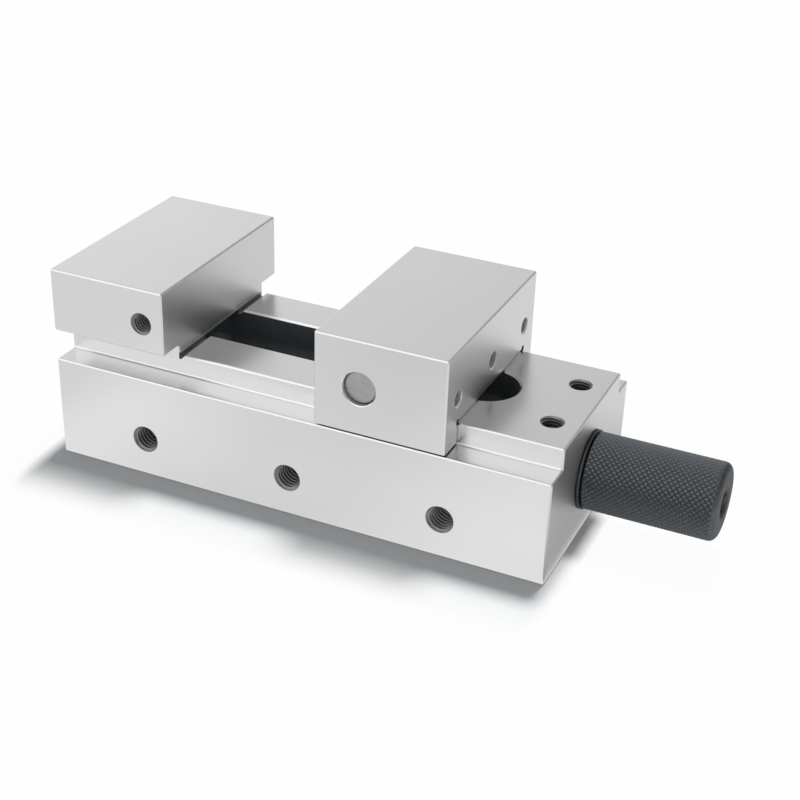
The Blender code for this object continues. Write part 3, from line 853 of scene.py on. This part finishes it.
def cutKey(piece, sizes, across, deep, mouth, mouthFinish, place, turn, steps=None):
    # a socket for a hexagon key, from height 0 down
    drilled, flats = sizes["drilledShare"] * across / 2, sizes["flatsShare"] * deep
    bottom = [(0, -flats), (drilled, -flats), (drilled, -deep), (0, -deep - keyConeShare * drilled)]
    rim = across / math.sqrt(3) + mouth
    cut(piece, hexagon("key", across, -deep, shop["overrun"], blackOxide, place, turn))
    cut(piece, turned("keyBottom", bottom, blackOxide, place, turn, steps=steps))
    cut(piece, countersink(rim, mouthFinish, place, turn, steps))


def makeGrub(name, node, radius, length, pitch, socket, place, turn):
    # its socket opens at height 0 and its body lies below that
    sizes, steps = grubSizes, shop["threadSteps"]
    screw = threaded(name, radius, pitch, -length, 0, blackOxide, place, turn)
    deep = length * sizes["pocketShare"]
    cutKey(screw, sizes, socket, deep, sizes["mouth"], blackOxide, place, turn, steps)
    cup, end = radius * sizes["cupShare"], -length - shop["overrun"]
    profile = [(0, sizes["cupDepthShare"] * cup - length), (cup, -length), (cup, end), (0, end)]
    cut(screw, turned("cup", profile, blackOxide, place, turn, steps=steps))
    fit(screw, node)


def makeGrubs():
    for name, node in (("pinLockScrewNear", "pin_lock_screw_near"), ("tongueScrew", "tongue_screw"),
                       ("pinLockScrewFar", "pin_lock_screw_far")):
        low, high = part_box(node)
        middle = (low + high) / 2
        makeGrub(name, node, (high.z - low.z) / 2, high.x - low.x, lockHoles["pitch"],
                 grubSizes["lockSocket"], (high.x, middle.y, middle.z), alongVise)
    for side in ("Near", "Far"):
        node = "keeper_plug_" + side.lower()
        low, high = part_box(node)
        middle = (low + high) / 2
        makeGrub("keeperPlug" + side, node, (high.x - low.x) / 2, high.z - low.z, endBores["keeperPitch"],
                 grubSizes["plugSocket"], (middle.x, middle.y, high.z), upright)
    low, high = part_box("nut_lock_screw")
    middle = (low + high) / 2
    makeGrub("nutLockScrew", "nut_lock_screw", (high.x - low.x) / 2, high.z - low.z, nutLockHole["pitch"],
             grubSizes["nutSocket"], (middle.x, middle.y, low.z), downward)


# Draw block and nut

drawSizes = {
    "edge": 0.5 * mm,
    "tongueLength": 12 * mm,
    "tongueRoom": 0.25 * mm,
}
nutLockHole = {
    "radius": 1.2 * mm,
    "pitch": 0.5 * mm,
    "mouth": 0.25 * mm,
    "untapped": 2 * mm,         # how far the thread ends before the drilled hole
}
nutSizes = {
    "pitch": 1.25 * mm,
    "radius": 6 * mm,
    "flange": 1.5 * mm,
    "edge": 0.3 * mm,
    "room": 0.05 * mm,          # round the nut, in the block
    "threadRoom": 0.12 * mm,    # round the screw's crests
    "mouth": 0.2 * mm,
}


def makeDrawBlock():
    sizes, out = drawSizes, shop["overrun"]
    low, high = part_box("draw_block")
    shoulder = channelRoof - sizes["tongueRoom"]
    half = sizes["tongueLength"] / 2
    tongueHalf = slotSizes["width"] / 2 - sizes["tongueRoom"]
    piece = block("drawBlock", (low.x, high.x), (low.y, high.y), (low.z, shoulder), milledBlock)
    weldOn(piece, block("tongue", (pinPlace.x - half, pinPlace.x + half), (-tongueHalf, tongueHalf),
                        (shoulder - out, high.z), milledBlock), solver="EXACT")
    breakEdges(piece, sizes["edge"])
    through = high.x - low.x
    nutSeat, pinHole = nutSizes["radius"] + nutSizes["room"], pinRadius + jawSizes["pinRoom"]
    cut(piece, bore(nutSeat, through, -through, boreShadeSteel, onAxis(pinPlace.x), alongVise))
    cut(piece, bore(pinHole, through, -through, boreShadeSteel, pinPlace, outNear))
    depth = endBores["height"] - low.z
    tapHole(piece, nutLockHole, depth, depth - nutLockHole["untapped"], (pinPlace.x, 0, low.z), downward,
            boreShadeSteel)
    fit(piece, "draw_block")


def makeNut():
    sizes = nutSizes
    low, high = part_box("lead_nut")
    flangeRadius = (high.z - low.z) / 2
    length, edge, flange, radius = high.x - low.x, sizes["edge"], sizes["flange"], sizes["radius"]
    profile = [
        (0, 0), (flangeRadius - edge, 0), (flangeRadius, -edge), (flangeRadius, edge - flange),
        (flangeRadius - edge, -flange), (radius, -flange), (radius, edge - length), (radius - edge, -length),
        (0, -length),
    ]
    nut = turned("leadNut", profile, bronze, onAxis(high.x), alongVise)
    crest, out = screwSizes["thread"] + sizes["threadRoom"], shop["overrun"]
    for end, turn in ((high.x, alongVise), (low.x, againstVise)):
        cut(nut, countersink(crest + sizes["mouth"], bronze, onAxis(end), turn))
    cut(nut, threaded("nutThread", crest, sizes["pitch"], -length - out, out, bronze, onAxis(high.x),
                      alongVise, hand=-1, endRadii=(crest, crest)))
    fit(nut, "lead_nut")


# Screw

screwSizes = {
    "thread": 4 * mm,
    "neckRadius": 3.2 * mm,
    "neckLength": 2 * mm,
    "journal": 7.5 * mm,
    "journalEdge": 0.5 * mm,
    "grooveBottom": 6.6 * mm,
    "grooveHalf": 2.55 * mm,
    "grooveFromEnd": 6.1 * mm,
    "stub": 5 * mm,
    "stubLength": 13 * mm,
    "pilot": 3 * mm,
    "edge": 0.35 * mm,
    "ease": 0.1 * mm,
    "neckOverlap": 1 * mm,      # how far the neck and the pilot reach into the thread
    "pilotOverlap": 1.5 * mm,
    "neckRunout": 0.2 * mm,     # how far below each of them the thread's end starts
    "pilotRunout": 0.3 * mm,
}


def makeScrew():
    # heights run along the vise from the body's end face
    sizes = screwSizes
    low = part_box("lead_screw")[0]
    start = slotEnd - bodyHigh.x + sizes["journalEdge"]
    edge, bigEdge, stub = sizes["edge"], sizes["journalEdge"], sizes["stub"]
    place = onAxis(bodyHigh.x)
    neckEnd = start - sizes["neckLength"]
    radius, bottom, neck = sizes["journal"], sizes["grooveBottom"], sizes["neckRadius"]
    grooveTop = sizes["grooveHalf"] - sizes["grooveFromEnd"]
    grooveEnd = -sizes["grooveHalf"] - sizes["grooveFromEnd"]
    journal = [
        (0, sizes["stubLength"]), (stub - edge, sizes["stubLength"]), (stub, sizes["stubLength"] - edge),
        (stub, 0), (radius - bigEdge, 0), (radius, -bigEdge), (radius, grooveTop), (bottom, grooveTop),
        (bottom, grooveEnd), (radius, grooveEnd), (radius, start + bigEdge), (radius - bigEdge, start),
        (neck, start), (neck, neckEnd - sizes["neckOverlap"]), (0, neckEnd - sizes["neckOverlap"]),
    ]
    screw = turned("leadScrew", eased(journal, sizes["ease"]), blackOxide, place, alongVise)
    pilotStart = channelStart - bodyHigh.x + shop["overrun"]
    top, end, radius = pilotStart + sizes["pilotOverlap"], low.x - bodyHigh.x, sizes["pilot"]
    pilot = [(0, top), (radius, top), (radius, end + edge), (radius - edge, end), (0, end)]
    ends = (radius - sizes["pilotRunout"], neck - sizes["neckRunout"])
    weldOn(
        screw,
        threaded("leadThread", sizes["thread"], nutSizes["pitch"], pilotStart, neckEnd, blackOxide, place,
                 alongVise, hand=-1, endRadii=ends),
        turned("pilot", eased(pilot, sizes["ease"]), blackOxide, place, alongVise),
    )
    fit(screw, "lead_screw")


bushSizes = {"room": 0.08 * mm, "edge": 0.3 * mm}
washerSizes = {"room": 0.1 * mm, "edge": 0.1 * mm}


def makeBush():
    low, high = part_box("front_bush")
    outer = (high.z - low.z) / 2
    inner = screwSizes["pilot"] + bushSizes["room"]
    length, edge = high.x - low.x, bushSizes["edge"]
    profile = [(inner + edge, 0), (outer, 0), (outer, edge - length), (outer - edge, -length),
               (inner, -length), (inner, -edge)]
    fit(turned("frontBush", profile, bronze, onAxis(high.x), alongVise, ring=True),
        "front_bush")


def makeWasher():
    low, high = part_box("thrust_washer")
    outer = (high.z - low.z) / 2
    inner = screwSizes["stub"] + washerSizes["room"]
    thick, edge = high.x - low.x, washerSizes["edge"]
    profile = [(inner, 0), (outer - edge, 0), (outer, -edge), (outer, edge - thick), (outer - edge, -thick),
               (inner, -thick)]
    # painted shade: the washer is coloured near black for the shade round the knob
    fit(turned("thrustWasher", profile, darkSteel, onAxis(high.x), alongVise, ring=True),
        "thrust_washer")


# Knob

knobSizes = {
    "grooves": 42,            # knurl grooves round the knob, each way
    "knurlDepth": 0.32 * mm,
    "tipShare": 0.28,         # how much of a diamond's width stays flat
    "outerRound": 1.8 * mm,
    "innerEdge": 0.4 * mm,
    "over": 0.02 * mm,        # how far the turned envelope stands clear of the knurl's tips
    "socket": 6 * mm,
    "socketDepth": 8 * mm,
    "socketMouth": 0.35 * mm,
    "drilledShare": 0.99,     # as for the grub screws
    "flatsShare": 0.9,
    "boreRoom": 0.1 * mm,
    "boreDepth": 13.2 * mm,
}
setHole = {
    "radius": 1.6 * mm,
    "pitch": 0.5 * mm,
    "mouth": 0.2 * mm,
    "screwRadius": 1.8 * mm,
    "screwLength": 3.2 * mm,
    "screwSocket": 2 * mm,
}

knobLow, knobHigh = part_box("knurled_knob")
knobRadius = (knobHigh.z - knobLow.z) / 2
knobLength = knobHigh.x - knobLow.x
knobEnd = onAxis(knobHigh.x)


def knurlBlank(finish):
    # diamonds between two sets of grooves at 45 degrees, longer than the knob at both ends
    sizes = knobSizes
    around = 2 * sizes["grooves"]
    turnStep = 2 * math.pi / around
    riseStep = knobRadius * turnStep
    root = knobRadius - sizes["knurlDepth"]
    rows = math.ceil(knobLength / riseStep / 2) * 2 + 4
    base = -knobLength - 2 * riseStep
    shape = bmesh.new()

    def point(column, row, radius):
        angle = column * turnStep
        return shape.verts.new((radius * math.cos(angle), radius * math.sin(angle), base + row * riseStep))

    crossings = {(column, row): point(column, row, root)
                 for row in range(rows + 1) for column in range(row % 2, around, 2)}
    for row in range(1, rows):
        for column in range((row + 1) % 2, around, 2):
            spots = [((column + 1) % around, row), (column, row + 1),
                     ((column - 1) % around, row), (column, row - 1)]
            tip = [point(column + right * sizes["tipShare"], row + up * sizes["tipShare"], knobRadius)
                   for right, up in ((1, 0), (0, 1), (-1, 0), (0, -1))]
            foot = [crossings[spot] for spot in spots]
            shape.faces.new(tip)
            for i in range(4):
                shape.faces.new((foot[i], foot[(i + 1) % 4], tip[(i + 1) % 4], tip[i]))
    for edgeRow, nextRow in ((0, 1), (rows, rows - 1)):
        for column in range(edgeRow % 2, around, 2):
            far = (column + 2) % around
            shape.faces.new((crossings[column, edgeRow], crossings[far, edgeRow],
                             crossings[(column + 1) % around, nextRow]))
    bmesh.ops.holes_fill(shape, edges=[edge for edge in shape.edges if edge.is_boundary], sides=0)
    bmesh.ops.recalc_face_normals(shape, faces=shape.faces)
    return toScene("knurl", shape, finish, knobEnd, alongVise)


def makeKnob():
    sizes, out = knobSizes, shop["overrun"]
    finish = knurlOxide(knobRadius, knobRadius - sizes["knurlDepth"])
    knob = knurlBlank(finish)
    knob.name = "knurledKnob"
    radius, inner, outer = sizes["outerRound"], sizes["innerEdge"], knobRadius + sizes["over"]
    angles = [math.pi / 2 * step / shop["cornerSteps"] for step in range(shop["cornerSteps"] + 1)]
    envelope = [(0, 0)]
    envelope += [(outer - radius * (1 - math.sin(a)), -radius * (1 - math.cos(a))) for a in angles]
    envelope += [(outer, inner - knobLength), (knobRadius - inner, -knobLength), (0, -knobLength)]
    combine(knob, [turned("knobTurning", envelope, blackOxide, knobEnd, alongVise)], "INTERSECT", "MANIFOLD")
    stub = screwSizes["stub"] + sizes["boreRoom"]
    depth = sizes["boreDepth"] + bodyHigh.x - knobHigh.x
    cut(knob, bore(stub, depth, -knobLength - out, blackOxide, knobEnd, alongVise))
    cutKey(knob, sizes, sizes["socket"], sizes["socketDepth"], sizes["socketMouth"], darkSteel, knobEnd,
           alongVise)
    setLow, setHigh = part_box("knob_set_screw")
    setMiddle = (setLow + setHigh) / 2
    outward = Vector((0, setMiddle.y, setMiddle.z - knobEnd[2])).normalized()
    turn = outward.to_track_quat("Z", "X").to_euler()
    mouth = Vector((setMiddle.x, 0, knobEnd[2])) + outward * knobRadius
    reach = knobRadius - stub / 2
    tapHole(knob, setHole, reach, reach, mouth, turn, blackOxide)
    fit(knob, "knurled_knob")
    length = setHole["screwLength"]
    makeGrub("knobSetScrew", "knob_set_screw", setHole["screwRadius"], length, setHole["pitch"],
             setHole["screwSocket"], setMiddle + outward * length / 2, turn)


makeBody()
print("body ready")
makeSlidingJaw()
print("sliding jaw ready")
makePins()
makeGrubs()
makeDrawBlock()
makeNut()
makeScrew()
makeBush()
makeWasher()
print("screw and fittings ready")
makeKnob()
print("knob ready")


# Studio

cameraSetting = {
    "stand": (120.07 * mm, -274.39 * mm, 184.71 * mm),
    "aim": (-0.3 * mm, 0, 20 * mm),
    "lens": 69.224,
    "sensor": 36,
    "tilt": 1.909,            # its right side is held this much higher, in degrees
    "nearest": 10 * mm,
}
studio = {
    "floorColour": (0.90, 0.905, 0.91),
    "floorRadius": 1500 * mm,
    "floorDrop": 0.02 * mm,
    "paperGrain": 0.6 * mm,
    "paperLevels": (0.99, 1.0),
    # each ramp: its value before and after, and where it starts and ends
    # how much the floor glows by itself, from the vise's foot outward: close by the floor shows its own
    # shade, further out its glow paints over the vise's cast shadow as painted light
    "ownGlow": (0.10, 0.97, 5 * mm, 20 * mm),
    "endStretch": 4.5,          # the painted-over shade beside the vise's ends is this much narrower
    # the floor as the steel mirrors it, a painted reflection: from the vise's foot outward, to both sides of
    # a place along the vise, where it is darker as painted shade, and beside the end that carries the knob,
    # darker as the knob's painted shadow
    "mirrorGlow": (1.0, 0.84, 20 * mm, 90 * mm),
    "dipMiddle": -22 * mm,
    "dip": (0.86, 1.0, 12 * mm, 48 * mm),
    "paintedShadowBesideEnd": (0.40, 0.90, 4 * mm, 34 * mm),
    "pastEnd": (0, 1, 0, 2 * mm),
    # what the steel mirrors of the room: from its left to its right, from the wall behind up to a
    # band, on to the ceiling, and the window in front
    "sides": (1.1, 0.38, -0.6, 0.6),
    "wall": (0.95, 0.82, 0.26, 0.40),
    "ceiling": (0, -0.12, 0.42, 0.62),      # added to the band
    "front": (1.3, 0.494, -0.2, 0.8),
    "frontToBack": (0, 1, -0.4, 0.1),
    "roomColour": (0.90, 0.97, 1.0),
    "roomLight": 0.22,          # the room's level for what isn't polished
}
lampSetting = {
    "place": (30 * mm, 230 * mm, 800 * mm),
    "aim": (0, 0, 0),
    "size": 200 * mm,
    "power": 5.75,
}


def makeCamera():
    setting = cameraSetting
    camera = bpy.data.cameras.new("photoCamera")
    camera.lens = setting["lens"]
    camera.sensor_width = setting["sensor"]
    camera.clip_start = setting["nearest"]
    holder = bpy.data.objects.new("photoCamera", camera)
    stand, aim = Vector(setting["stand"]), Vector(setting["aim"])
    look = (aim - stand).to_track_quat("-Z", "Y").to_matrix().to_4x4()
    roll = Matrix.Rotation(math.radians(setting["tilt"]), 4, "Z")
    holder.matrix_world = Matrix.Translation(stand) @ look @ roll
    bpy.context.scene.collection.objects.link(holder)
    bpy.context.scene.camera = holder


def mirrored(tree, path):
    # 1 for what the camera sees mirrored in the vise, 0 for what only lights a dull surface
    polished = sums(tree, "MAXIMUM", path.outputs["Is Glossy Ray"], path.outputs["Is Transmission Ray"])
    return sums(tree, "MULTIPLY", polished, sums(tree, "LESS_THAN", path.outputs["Diffuse Depth"], 0.5))


def floorGlow(tree, place):
    # the floor's own glow, painting over the cast shadow away from the foot, and its glow as the steel
    # mirrors it, a painted reflection with painted shade, at a place on it
    low, high = (bodyLow.x, bodyLow.y, 0), (bodyHigh.x, bodyHigh.y, 0)
    nearest = vectors(tree, "MINIMUM", vectors(tree, "MAXIMUM", place, low), high)
    offset = vectors(tree, "SUBTRACT", place, nearest)
    away = lengthOf(tree, vectors(tree, "MULTIPLY", offset, (studio["endStretch"], 1, 1)))
    # painted light: the glow grows away from the foot and hides the cast shadow there
    glow = scaled(tree, away, *studio["ownGlow"])
    sideways = sums(tree, "SUBTRACT", partOf(tree, place, 0), studio["dipMiddle"])
    # painted reflection: the mirrored floor dims away from the foot and darkens before the middle as painted
    # shade
    mirror = sums(tree, "MULTIPLY", scaled(tree, away, *studio["mirrorGlow"]),
                  scaled(tree, sums(tree, "ABSOLUTE", sideways, 0), *studio["dip"]))
    pastEnd = scaled(tree, partOf(tree, offset, 0), *studio["pastEnd"])
    # painted shadow: the mirrored floor beside the knob's end is darkened for the knob's shadow
    paintedShadowBesideEnd = scaled(tree, lengthOf(tree, offset), *studio["paintedShadowBesideEnd"])
    return glow, blended(tree, pastEnd, mirror, paintedShadowBesideEnd)


def makeFloor():
    shape = bmesh.new()
    bmesh.ops.create_circle(shape, cap_ends=True, segments=shop["roundSteps"], radius=studio["floorRadius"])
    finish = bpy.data.materials.new("floorPaper")
    finish.use_nodes = True
    tree = finish.node_tree
    tree.nodes.clear()
    place = ownPlace(tree)
    diffuse = addNode(tree, "BsdfDiffuse", {"Color": (*studio["floorColour"], 1)})
    paper = scaled(tree, grain(tree, place, studio["paperGrain"]), *studio["paperLevels"])
    glow, mirror = floorGlow(tree, place)
    path = tree.nodes.new("ShaderNodeLightPath")
    polished = mirrored(tree, path)
    bySteel = sums(tree, "MULTIPLY", polished, studio["ownGlow"][1])
    share = sums(tree, "MAXIMUM", sums(tree, "MULTIPLY", glow, path.outputs["Is Camera Ray"]), bySteel)
    level = blended(tree, polished, paper, mirror)
    lit = addNode(tree, "Emission", {"Color": (1, 1, 1, 1), "Strength": level})
    upper = addNode(tree, "MixShader", {0: share, 1: diffuse, 2: lit})
    # from below the floor is clear, so that the vise's underside can be looked at
    fromBelow = tree.nodes.new("ShaderNodeNewGeometry").outputs["Backfacing"]
    both = addNode(tree, "MixShader", {0: fromBelow, 1: upper, 2: addNode(tree, "BsdfTransparent")})
    output = tree.nodes.new("ShaderNodeOutputMaterial")
    tree.links.new(both, output.inputs["Surface"])
    floor = toScene("floor", shape, finish, (0, 0, -studio["floorDrop"]))


def makeRoom():
    world = bpy.context.scene.world or bpy.data.worlds.new("room")
    bpy.context.scene.world = world
    world.use_nodes = True
    tree = world.node_tree
    tree.nodes.clear()
    direction = addNode(tree, "TexCoord", out="Generated")
    toRight, toBack, upward = (partOf(tree, direction, axis) for axis in range(3))
    lower, upper = (scaled(tree, upward, *studio[part]) for part in ("wall", "ceiling"))
    behind = sums(tree, "MULTIPLY", scaled(tree, toRight, *studio["sides"]), sums(tree, "ADD", lower, upper))
    front = scaled(tree, toRight, *studio["front"])
    whole = blended(tree, scaled(tree, toBack, *studio["frontToBack"]), front, behind)
    path = tree.nodes.new("ShaderNodeLightPath")
    shiny = mirrored(tree, path)
    level = blended(tree, shiny, studio["roomLight"], whole)
    colour = mixed(tree, shiny, studio["roomColour"], (1, 1, 1))
    room = addNode(tree, "Background", {"Color": colour, "Strength": level})
    backdrop = addNode(tree, "Background", {"Color": (1, 1, 1, 1), "Strength": 1.0})
    both = addNode(tree, "MixShader", {0: path.outputs["Is Camera Ray"], 1: room, 2: backdrop})
    output = tree.nodes.new("ShaderNodeOutputWorld")
    tree.links.new(both, output.inputs["Surface"])


def makeLamp():
    setting = lampSetting
    lamp = bpy.data.lights.new("overheadPanel", "AREA")
    lamp.shape = "DISK"
    lamp.size = setting["size"]
    lamp.energy = setting["power"]
    holder = bpy.data.objects.new("overheadPanel", lamp)
    place, aim = Vector(setting["place"]), Vector(setting["aim"])
    holder.location = place
    holder.rotation_euler = (aim - place).to_track_quat("-Z", "Y").to_euler()
    holder.visible_glossy = False       # the steel mirrors the room, not the lamp
    bpy.context.scene.collection.objects.link(holder)


makeCamera()
makeFloor()
makeRoom()
makeLamp()
bpy.context.scene.view_settings.view_transform = "Standard"
print("studio ready")
